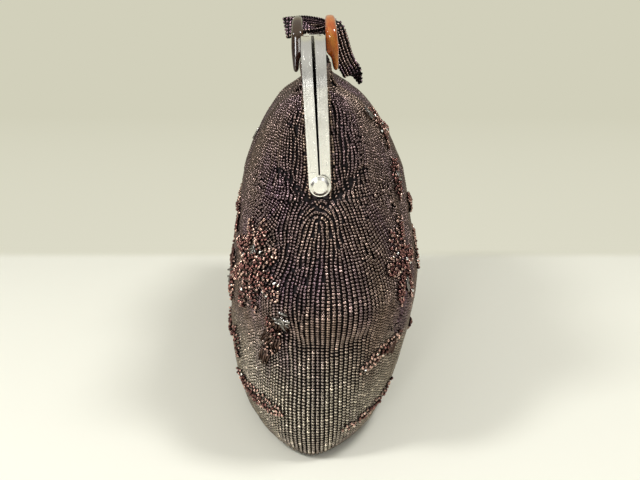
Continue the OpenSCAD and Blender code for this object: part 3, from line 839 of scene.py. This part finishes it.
def part_of(p):
    """Which piece of the beadwork a place belongs to."""
    if p.z > SEAM_Z:
        half = "front" if p.y < frame_lean(p.z) else "back"
        return f"{half}_panel_{'near' if p.x > 0 else 'far'}"
    turn = math.atan2(p.y / 0.4, p.x) / math.tau + 0.5
    return f"sack_{int(turn * SACK_PARTS) % SACK_PARTS:02d}"


def fasten(made, part):
    """Makes a bead piece of the sack move with the bag; a piece of an upper panel is only baked in
    place.
    """
    if part.startswith("sack"):
        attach(made, "bag")
    else:
        bend(made)


# Flowers sewn over the strings at the near end: the middle, then the petals' tips, in
# millimetres. The far end has them turned half round
FLOWERS = (((99, -27, 83), ((82, -33, 98), (70, -37, 86), (74, -37, 70), (90, -31, 62),
                            (106, -23, 66), (119, -15, 75), (113, -19, 93), (98, -26, 103))),
           ((92, 34, 82), ((80, 35, 99), (97, 31, 97), (108, 26, 82), (102, 31, 66),
                           (84, 38, 64), (74, 38, 80))),
           ((53, 27, 134), ((38, 31, 131), (50, 24, 143), (66, 20, 142), (64, 29, 126))))
PETAL = (4.2, 1.7, 0.4)  # half-width, height and share of light beads
# Sprays: half-width, height and share of light beads, then places
SPRAYS = (
    (4.0, 1.2, 0.75, ((112, -19, 66), (113, -19, 56), (107, -22, 46))),
    (3.6, 1.5, 0.55, ((76, -37, 24), (90, -32, 21), (104, -25, 22), (114, -15, 22))),
    (5.0, 1.8, 0.25, ((60, 33, 120), (68, 34, 113), (74, 35, 105))),
    (3.4, 1.4, 0.8, ((88, 36, 48), (98, 31, 47), (106, 25, 46), (114, 16, 41))),
    (2.2, 1.2, 0.5, ((84, 35, 22), (97, 28, 17), (105, 20, 16), (115, 9, 15))),
    (5.0, 1.6, 0.4, ((60, -41, 78), (66, -40, 66), (62, -41, 54))),
    (4.0, 1.5, 0.4, ((66, -39, 42), (74, -38, 36), (78, -36, 30))),
)
OUTSIDE = 60  # in millimetres, further out than either long face
# Sprays of each long face, with places along and up it
FACE_SPRAYS = (
    (5.0, 1.6, 0.3, ((-2, 66), (9, 74), (17, 70))),
    (5.0, 1.6, 0.3, ((-2, 62), (-13, 56), (-19, 61))),
    (5.0, 1.6, 0.3, ((0, 69), (-8, 80), (-4, 88))),
    (5.0, 1.6, 0.3, ((1, 60), (8, 49), (4, 41))),
    (2.6, 1.2, 0.7, ((17, 70), (34, 82), (50, 80), (62, 70))),
    (2.6, 1.2, 0.7, ((-19, 61), (-36, 50), (-52, 54), (-64, 66))),
    (4.5, 1.5, 0.35, ((30, 92), (42, 100), (54, 98))),
    (4.5, 1.5, 0.35, ((-30, 36), (-44, 30), (-56, 34))),
    (3.4, 1.4, 0.6, ((-62, 88), (-44, 98), (-26, 94), (-12, 102))),
    (3.4, 1.4, 0.6, ((60, 36), (42, 28), (24, 32), (10, 22))),
)
# Fans of bugles at the near end: place, how many, spread of their directions, length
BUGLES = (((119, -14, 67), 9, 2.4, 4.5), ((117, -16, 63), 6, 0.8, 5),
          ((112, -19, 55), 7, 0.25, 8), ((106, -22, 46), 5, 0.3, 7),
          ((47, -29, 130), 1, 0, 6), ((69, 20, 142), 5, 1.2, 5), ((66, 34, 114), 6, 2.4, 5),
          ((92, 36, 72), 5, 2.4, 5), ((98, 31, 47), 6, 0.5, 6), ((96, -27, 88), 5, 2.4, 5),
          ((62, -41, 66), 6, 1.5, 5))


def spaces(apart):
    """A function that takes a place, and says whether it was free of all it took before."""
    taken = {}

    def free(q):
        i, j, k = (math.floor(c / apart) for c in q)
        for a in (i - 1, i, i + 1):
            for b in (j - 1, j, j + 1):
                for c in (k - 1, k, k + 1):
                    if any((o - q).length < apart for o in taken.get((a, b, c), ())):
                        return False
        taken.setdefault((i, j, k), []).append(q)
        return True

    return free


class HANDBAG_OT_beadwork(bpy.types.Operator):
    """Lays the ground fabric, strings the beads over it and sews on the sprays"""
    bl_idname = "handbag.beadwork"
    bl_label = "Beadwork"
    # Each laying of strings, in gaps: how far beside others they start, how near they may
    # start and end to any, and then in how many rounds they are evened out
    LAYINGS = ((0.8, 0.78, 0.64, 4), (0.8, 0.72, 0.62, 2), (0.85, 0.74, 0.66, 0))

    def execute(self, context):
        look = settings("beads")
        dice = random.Random(look.seed)
        cloth = Cloth()
        glass = bead_glass()
        self.strung(cloth, look, dice, glass)
        self.sprays(cloth, look, dice, glass)
        self.bugles(cloth, look, dice, glass)
        self.ground(cloth, look)
        return {"FINISHED"}

    def strung(self, cloth, look, dice, glass):
        """The plain strings that cover the whole bag."""
        strings = Strings(cloth, look, flow_over(swirl_marks()), dice)
        strings.fill([Vector((end * 0.12, 0, 0.08)) for end in (1, -1)], 0.93, 0.8)
        for aside, near, stop, rounds in self.LAYINGS:
            strings.fill(strings.beside(aside), near, stop)
            if rounds:
                strings.settle(rounds)
        strings.measure()
        groups = {}
        for p, n, d, run, room in zip(strings.spot, strings.normal, strings.headings(),
                                      strings.owner, strings.room):
            p, n, d = Vector(p), Vector(n), Vector(d)
            size = strings.scale(p)
            wide = min(1.1 * size, max(0.78 * size, room / look.gap))
            grow = (wide * (1 + 0.07 * (dice.random() - 0.5)), size,
                    size * (1 + 0.06 * dice.random()))
            held = groups.setdefault(part_of(p), ([], []))
            low = look.width / 2 + 0.12 * MM * dice.random()
            held[0].append(placed(p - n * low, n, d, grow))
            held[1].append(string_tint(p, int(run), look, dice))
        self.sew(groups, "_beads", seed_bead(look), glass)

    def sew(self, groups, name, form, glass, smooth=True):
        """One piece of copies of a form for each part of the bag."""
        for part, (places, tints) in sorted(groups.items()):
            fasten(copies(part + name, form.copy(), places, tints, glass, smooth), part)
        form.free()

    def spray_lines(self):
        """Every petal and trail of both ends: half-width, height, share of light beads and
        places along it."""
        paths = []
        for turn in (1, -1):
            for middle, tips in FLOWERS:
                middle = Vector((turn * middle[0], turn * middle[1], middle[2]))
                wide, proud, light = PETAL
                for x, y, z in tips:
                    tip = Vector((turn * x, turn * y, z))
                    paths.append((wide * MM, proud * MM, light, [middle.lerp(tip, 0.1) * MM,
                                                                 tip * MM]))
            for wide, proud, light, places in SPRAYS:
                line = [Vector((turn * x, turn * y, z)) * MM for x, y, z in places]
                paths.append((wide * MM, proud * MM, light, line))
            for wide, proud, light, places in FACE_SPRAYS:
                line = [Vector((turn * x, turn * OUTSIDE, z)) * MM for x, z in places]
                paths.append((wide * MM, proud * MM, light, line))
        return paths

    def sprays(self, cloth, look, dice, glass):
        """Heaps of wine and rose beads over the strings."""
        groups = {}
        apart, tries = 1.5 * MM, 6.0
        free = spaces(apart)
        for wide, proud, light, line in self.spray_lines():
            line = [cloth.nearest(p, 0.08)[0] for p in line]
            lengths = [(b - a).length for a, b in zip(line, line[1:])]
            whole = sum(lengths)
            for _ in range(int(tries * whole * wide / apart ** 2)):
                t = dice.random()
                s, i = t * whole, 0
                while i < len(lengths) - 1 and s > lengths[i]:
                    s -= lengths[i]
                    i += 1
                forward = (line[i + 1] - line[i]).normalized()
                q, n = cloth.nearest(line[i].lerp(line[i + 1], min(1, s / lengths[i])))
                off = (dice.random() * 2 - 1) * wide * (4 * t * (1 - t)) ** 0.4
                q, n = cloth.nearest(q + n.cross(forward) * off)
                top = q + n * proud * (1 - (off / wide) ** 2) * (0.5 + 0.5 * dice.random())
                if not free(top):
                    continue
                heading = Matrix.Rotation(dice.gauss(0, 0.7), 3, n) @ forward
                grow = 0.78 + 0.2 * dice.random()
                edge = abs(off) / wide > 0.55 or t > 0.8
                share = light * (1.7 if edge else 0.4)
                tint = look.rose if dice.random() < share else look.wine
                if dice.random() < 0.015:
                    tint = look.silver
                held = groups.setdefault(part_of(q), ([], []))
                held[0].append(placed(top - n * 0.3 * MM, n, heading, (grow,) * 3))
                held[1].append(shaded(tint, dice, 0.4))
        self.sew(groups, "_sprays", seed_bead(look), glass)

    def bugles(self, cloth, look, dice, glass):
        """Fans and rows of silver and rose bugles."""
        groups = {}
        for (x, y, z), count, spread, length in BUGLES:
            for end in (1, -1):
                q, n = cloth.nearest(Vector((end * x, end * y, z)) * MM)
                down = (n * n.z - UP).normalized()
                tint = look.silver if spread > 1 or count == 1 else look.rose
                for k in range(count):
                    turn = dice.uniform(-spread, spread) - 0.5 * end
                    d = Matrix.Rotation(turn, 3, n) @ down
                    step = (k - count / 2) * (0.7 if spread > 1 else 1.3) * MM
                    at, m = cloth.nearest(q + n.cross(d) * step + d * dice.uniform(0, 2) * MM)
                    grow = (1, 1, length * MM * dice.uniform(0.8, 1.15) / (6 * MM))
                    held = groups.setdefault(part_of(at), ([], []))
                    held[0].append(placed(at + m * 1.1 * MM, m, d + m * dice.uniform(0, 0.3),
                                          grow))
                    held[1].append(shaded(Vector(tint) * 0.4, dice, 0.2))
        self.sew(groups, "_bugles", bugle_form(1.0 * MM, 6 * MM), glass, False)

    def ground(self, cloth, look):
        """The dark fabric that the strings are sewn to, just under them."""
        cotton = ground_fabric()
        for node, bm in cloth.skins.items():
            move_out(bm, lambda v: -0.85 * look.width)
            made = piece(node + "_cloth", bm, cotton)
            wall = made.modifiers.new("thickness", "SOLIDIFY")
            wall.thickness = 0.4 * MM
            wall.offset = -1
            fasten(made, "sack" if node == "beaded_sack" else node)
            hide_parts(node)


class HANDBAG_OT_lining(bpy.types.Operator):
    """Lines the sack and the panels with satin"""
    bl_idname = "handbag.lining"
    bl_label = "Lining"

    def execute(self, context):
        cloth = satin()
        for node in LINED:
            bm = merged(node)
            quads(bm)
            if node != "slip_pocket":
                bm = self.folded(bm)
            made = piece(node + "_satin", bm, cloth)
            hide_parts(node)
            if node.endswith("panel"):
                bend(made)
            else:
                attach(made, "bag")
        return {"FINISHED"}

    def folded(self, bm):
        """The lining pressed inwards by the creases of the cloth round it."""
        bm = subdivided(bm, 2, "SIMPLE")
        skins = [outer_skin(node, 1) for node in BEADED]
        tree = search_tree(skins)
        for skin in skins:
            skin.free()
        for v in bm.verts:
            q, n, _, far = tree.find_nearest(v.co)
            if far < 6 * MM:
                v.co += n * min(0.0, relief(q, n))
        return bm


def eased(node, radius, segments):
    """A copy of a rigid CAD node with its sharp edges rounded, and the rounded faces marked for a
    painted highlight.
    """
    bm = merged(node)
    # the rounded faces are marked to be painted near-white: a painted highlight
    painted_sheen = bm.faces.layers.float.new("painted_sheen")
    bmesh.ops.dissolve_limit(bm, angle_limit=math.radians(1), verts=bm.verts, edges=bm.edges)
    sharp = [e for e in bm.edges
             if len(e.link_faces) == 2 and e.calc_face_angle() > math.radians(28)]
    rounds = bmesh.ops.bevel(bm, geom=sharp, offset=radius, segments=segments, profile=0.5,
                             affect="EDGES", material=-1, clamp_overlap=True)["faces"]
    for face in rounds:
        face[painted_sheen] = 1.0
    return bm


def flatten(made):
    """Keeps the flat faces of a bevelled piece flat under smooth shading."""
    made.data.set_sharp_from_angle(angle=math.radians(50))
    even = made.modifiers.new("flat_faces", "WEIGHTED_NORMAL")
    even.keep_sharp = True


class HANDBAG_OT_frame(bpy.types.Operator):
    """Finishes the clasp frame and its fittings"""
    bl_idname = "handbag.frame"
    bl_label = "Frame"

    def execute(self, context):
        look = settings("metal")
        plate = plated_metal("silver_plate", look.plate, 0.24)
        steel = plated_metal("plain_steel", look.steel, 0.34)
        for half in HALVES:
            node = half + "_frame"
            made = piece(node + "_plate", eased(node, look.edge, 3), plate)
            flatten(made)
            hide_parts(node)
            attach(made, half + "_half")
        for node in ("hinge_rivets", "strap_lug", "strap_ring", "strap_clamp"):
            dress(node, plate)
        for node in ("rivet_washers", "front_tab_bracket", "back_tab_bracket",
                     "front_tab_rivets", "back_tab_rivets", "catch_tongue", "catch_keeper"):
            dress(node, steel)
        paper = twisted_paper()
        for half in HALVES:
            dress(half + "_channel_cord", paper)
        return {"FINISHED"}


def dress(node, material):
    """Gives a CAD node that keeps its shape a better material."""
    held = frame["nodes"][node]
    held.data.materials.clear()
    held.data.materials.append(material)


class HANDBAG_OT_tabs(bpy.types.Operator):
    """Casts the two resin tabs"""
    bl_idname = "handbag.tabs"
    bl_label = "Tabs"

    def execute(self, context):
        look = settings("tabs")
        resins = {"front": cast_resin("dark_resin", look.dark, look.dark_painted_shade,
                                   look.dark_streak),
                  "back": cast_resin("amber_resin", look.amber, look.amber_painted_shade,
                                  look.amber_streak)}
        for half, resin in resins.items():
            node = half + "_tab"
            made = piece(node + "_resin", merged(node), resin)
            even = made.modifiers.new("even_skin", "REMESH")
            even.mode = "VOXEL"
            even.voxel_size = look.edge / 2
            even.use_smooth_shade = True
            polish = made.modifiers.new("polish", "SMOOTH")
            polish.factor, polish.iterations = 0.5, 90
            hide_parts(node)
            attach(made, half + "_half")
        return {"FINISHED"}


# The wrist strap's way, from the part's source: a place in strap widths from the clamp's
# grip, then the direction of the band's width there
STRAP_WAY = (
    (-0.2, 0, 0.127, 0, 1, 0), (0, 0, 0.127, 0, 1, 0), (0.16, 0, 0.13, 0, 1, 0),
    (0.65, -0.03, 0.16, 0, 1, 0.1), (1.25, -0.3, 0.2, 0.25, 0.88, 0.35),
    (1.8, -0.75, 0.16, 0.35, 0.55, 0.7), (2.3, -1.2, 0.09, 0.3, 0.2, 0.95),
    (2.72, -1.5, 0.04, 0.12, -0.15, 1), (2.98, -1.4, 0.04, -0.3, -0.1, 0.95),
    (3.02, -1, 0.05, -0.7, 0, 0.7), (3, -0.55, -0.04, -1, 0, 0.3),
    (2.96, -0.14, -0.14, -1, 0, 0), (2.94, 0.22, -0.06, -1, 0, 0),
    (2.92, 0.46, 0.12, -0.95, 0.25, 0.2), (2.88, 0.68, -0.04, -0.6, 0.75, 0.25),
    (2.8, 0.8, -0.45, -0.25, 0.9, 0.35), (2.66, 0.96, -1.03, -0.35, 0.88, 0.3),
    (2.42, 1.18, -1.62, -0.5, 0.8, 0.1), (2.06, 1.46, -2.1, -0.55, 0.74, -0.35),
    (1.6, 1.6, -2.3, -0.1, 0.62, -0.78), (1.2, 1.5, -2.1, 0.5, 0.6, -0.62),
    (0.95, 1.2, -1.62, 0.85, 0.45, -0.3), (0.88, 0.95, -1.08, 0.97, 0.2, -0.05),
    (0.88, 0.66, -0.52, 0.98, -0.1, 0), (0.76, 0.3, -0.12, 0.75, -0.65, 0),
    (0.46, 0.06, -0.12, 0.3, -0.95, 0), (0.16, 0, -0.13, 0, -1, 0),
    (0, 0, -0.127, 0, -1, 0), (-0.2, 0, -0.127, 0, -1, 0))
STRAP_WIDTH = 12 * MM
STRAP_THICKNESS = 3 * MM
STRAP_START = Vector((-60.354, 2.35, 62.167)) * MM
STRAP_LEAN = math.radians(2.35)


def strap_frames(pitch):
    """Places evenly along the strap, each with its direction, width and face directions."""
    rows = np.array(STRAP_WAY)
    fine = []
    for u in np.linspace(0, len(rows) - 1, 1200):
        i = min(int(u), len(rows) - 2)
        f = u - i
        a, b, c, d = (rows[max(0, min(len(rows) - 1, k))] for k in (i - 1, i, i + 1, i + 2))
        fine.append(b + (c - a) * f / 2 + (2 * a - 5 * b + 4 * c - d) * f * f / 2
                    + (3 * b - a - 3 * c + d) * f ** 3 / 2)
    fine = np.array(fine)
    spot = fine[:, :3] * STRAP_WIDTH + np.array(STRAP_START)
    far = np.concatenate([[0], np.cumsum(np.linalg.norm(np.diff(spot, axis=0), axis=1))])
    turn = Matrix.Translation((0, 0, HINGE.z)) @ Matrix.Rotation(STRAP_LEAN, 4, "X")

    def at(values, s):
        return Vector([np.interp(s, far, values[:, k]) for k in range(3)])

    out = []
    for s in np.arange(0.5 * pitch, far[-1], pitch):
        ahead = at(spot, min(s + pitch, far[-1])) - at(spot, max(s - pitch, 0))
        t = (turn.to_3x3() @ ahead).normalized()
        w = turn.to_3x3() @ at(fine[:, 3:], s)
        w = (w - t * w.dot(t)).normalized()
        out.append((turn @ at(spot, s), t, w, t.cross(w)))
    return out


class HANDBAG_OT_strap(bpy.types.Operator):
    """Makes the beaded wrist strap"""
    bl_idname = "handbag.strap"
    bl_label = "Strap"

    def execute(self, context):
        look = settings("beads")
        dice = random.Random(look.seed + 1)
        bead = 0.9 * look.width
        ways = strap_frames(1.15 * look.pitch)
        bm = bmesh.new()
        half_wide = STRAP_WIDTH / 2 - 0.5 * bead
        half_thick = STRAP_THICKNESS / 2 - 0.6 * bead
        rings = [[bm.verts.new(p + w * x * half_wide + f * y * half_thick)
                  for x, y in ((1, 1), (-1, 1), (-1, -1), (1, -1))] for p, t, w, f in ways]
        for a, b in zip(rings, rings[1:]):
            for i in range(4):
                bm.faces.new((a[i], a[(i + 1) % 4], b[(i + 1) % 4], b[i]))
        bm.faces.new(rings[0][::-1])
        bm.faces.new(rings[-1])
        bmesh.ops.recalc_face_normals(bm, faces=bm.faces)
        core = piece("wrist_strap_core", bm, ground_fabric())
        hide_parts("wrist_strap")
        rows = 6
        places, tints = [], []
        for k, (p, t, w, f) in enumerate(ways):
            for face in (1, -1):
                for row in range(rows):
                    x = (row - (rows - 1) / 2) / (rows / 2) * (STRAP_WIDTH / 2 - 0.1 * bead)
                    wave = 0.25 * MM * noise.noise(Vector((k * 0.21, row * 3.1, face)))
                    q = p + w * (x + wave) + f * face * (STRAP_THICKNESS - bead) / 2
                    places.append(placed(q, f * face, t, (0.96, 0.9, 1.1)))
                    drift = noise.noise(Vector((row * 1.7, k * 0.05, face)))
                    tints.append(shaded(look.plum if drift > 0 else look.gunmetal, dice, 0.3))
        # deeper painted shade on the strap beads' sides and a brighter painted highlight on their
        # crowns
        beads = copies("wrist_strap_beads", seed_bead(look), places, tints,
                       bpy.data.materials["lined_glass_beads"], painted_shade_and_highlight=(0.09, 4.8))
        for made in (core, beads):
            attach(made, "strap")
        return {"FINISHED"}


class HANDBAG_OT_stage(bpy.types.Operator):
    """Sets the sweep of paper, the lamps and the camera"""
    bl_idname = "handbag.stage"
    bl_label = "Stage"

    def execute(self, context):
        look = settings("stage")
        self.sweep(look)
        self.light()
        self.camera(look)
        bpy.context.scene.view_settings.view_transform = "Standard"
        return {"FINISHED"}

    def sweep(self, look):
        """Paper that lies under the bag, runs back and turns up far behind it."""
        bm = bmesh.new()
        wide, deep, tall = 4.0, 5.0, 1.6
        ends = [bm.verts.new((-look.cove_x, y, 0)) for y in (-wide, wide)]
        edge = bm.edges.new(ends)
        spun = bmesh.ops.spin(bm, geom=[edge], cent=(-look.cove_x, 0, look.cove_radius),
                              axis=(0, 1, 0), angle=math.radians(90), steps=16)
        top = [g for g in spun["geom_last"] if isinstance(g, bmesh.types.BMEdge)]
        for edges, shift in (([edge], (deep, 0, 0)), (top, (0, 0, tall))):
            new = bmesh.ops.extrude_edge_only(bm, edges=edges)["geom"]
            moved = [g for g in new if isinstance(g, bmesh.types.BMVert)]
            bmesh.ops.translate(bm, vec=shift, verts=moved)
        piece("paper_sweep", bm, sweep_paper())

    def camera(self, look):
        """The camera at the photograph's angle, without depth of field."""
        data = bpy.data.cameras.new("camera")
        data.lens = look.lens
        data.clip_start, data.clip_end = 0.01, 20
        camera = bpy.data.objects.new("camera", data)
        camera.location = (look.camera_x, 0, look.camera_z)
        camera.rotation_euler = (math.radians(90) - look.pitch, 0, math.radians(90))
        bpy.context.scene.collection.objects.link(camera)
        bpy.context.scene.camera = camera

    def light(self):
        """A dim room with a brighter ceiling, a lamp high on either side and one low in front.
        Each lamp has a name, a place, a width and height, and watts."""
        world = bpy.data.worlds.new("studio")
        world.use_nodes = True
        tree = world.node_tree
        height = add(tree, "SeparateXYZ", None,
                     {0: add(tree, "TexCoord").outputs["Generated"]}).outputs["Z"]
        rise = add(tree, "MapRange", {"interpolation_type": "SMOOTHSTEP"},
                   {"Value": height, "From Min": 0.1, "From Max": 0.9,
                    "To Min": 0.19, "To Max": 0.56})
        back = tree.nodes["Background"]
        back.inputs["Color"].default_value = (1.0, 0.99, 0.95, 1)
        tree.links.new(rise.outputs[0], back.inputs["Strength"])
        bpy.context.scene.world = world
        lamps = (("right", (0.2, 0.42, 0.95), (0.2, 0.2), 4.3),
                 ("left", (0.35, -0.6, 0.8), (0.18, 0.18), 4.2),
                 ("low", (0.74, -0.21, 0.2), (0.12, 0.3), 1.7))
        for name, where, (wide, tall), power in lamps:
            data = bpy.data.lights.new(name, "AREA")
            data.shape, data.size, data.size_y, data.energy = "RECTANGLE", wide, tall, power
            lamp = bpy.data.objects.new(name, data)
            lamp.location = where
            aim = Vector((0.05, 0, 0.09)) - Vector(where)
            lamp.rotation_euler = aim.to_track_quat("-Z", "Y").to_euler()
            bpy.context.scene.collection.objects.link(lamp)


class HANDBAG_PT_panel(bpy.types.Panel):
    """Lists the handbag's steps"""
    bl_idname = "HANDBAG_PT_panel"
    bl_label = "Handbag"
    bl_space_type = "VIEW_3D"
    bl_region_type = "UI"
    bl_category = "Handbag"

    def draw(self, context):
        for step in OPERATORS:
            self.layout.operator(step.bl_idname)
        for name, group in GROUPS.items():
            box = self.layout.box()
            box.label(text=name.title())
            for key in group.__annotations__:
                box.prop(settings(name), key)


GROUPS = {"beads": HandbagBeads, "lining": HandbagLining, "metal": HandbagMetal,
          "tabs": HandbagTabs, "stage": HandbagStage}
OPERATORS = (HANDBAG_OT_beadwork, HANDBAG_OT_lining, HANDBAG_OT_frame, HANDBAG_OT_tabs,
             HANDBAG_OT_strap, HANDBAG_OT_stage)


def register():
    for made in (*GROUPS.values(), *OPERATORS, HANDBAG_PT_panel):
        bpy.utils.register_class(made)
    for name, group in GROUPS.items():
        setattr(bpy.types.Scene, "handbag_" + name, PointerProperty(type=group))


def unregister():
    for name in GROUPS:
        delattr(bpy.types.Scene, "handbag_" + name)
    for made in (HANDBAG_PT_panel, *reversed(OPERATORS), *reversed(GROUPS.values())):
        bpy.utils.unregister_class(made)


def main():
    """Makes every piece in order."""
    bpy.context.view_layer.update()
    register()
    for step in OPERATORS:
        group, name = step.bl_idname.split(".")
        getattr(getattr(bpy.ops, group), name)()


if __name__ == "__main__":
    main()
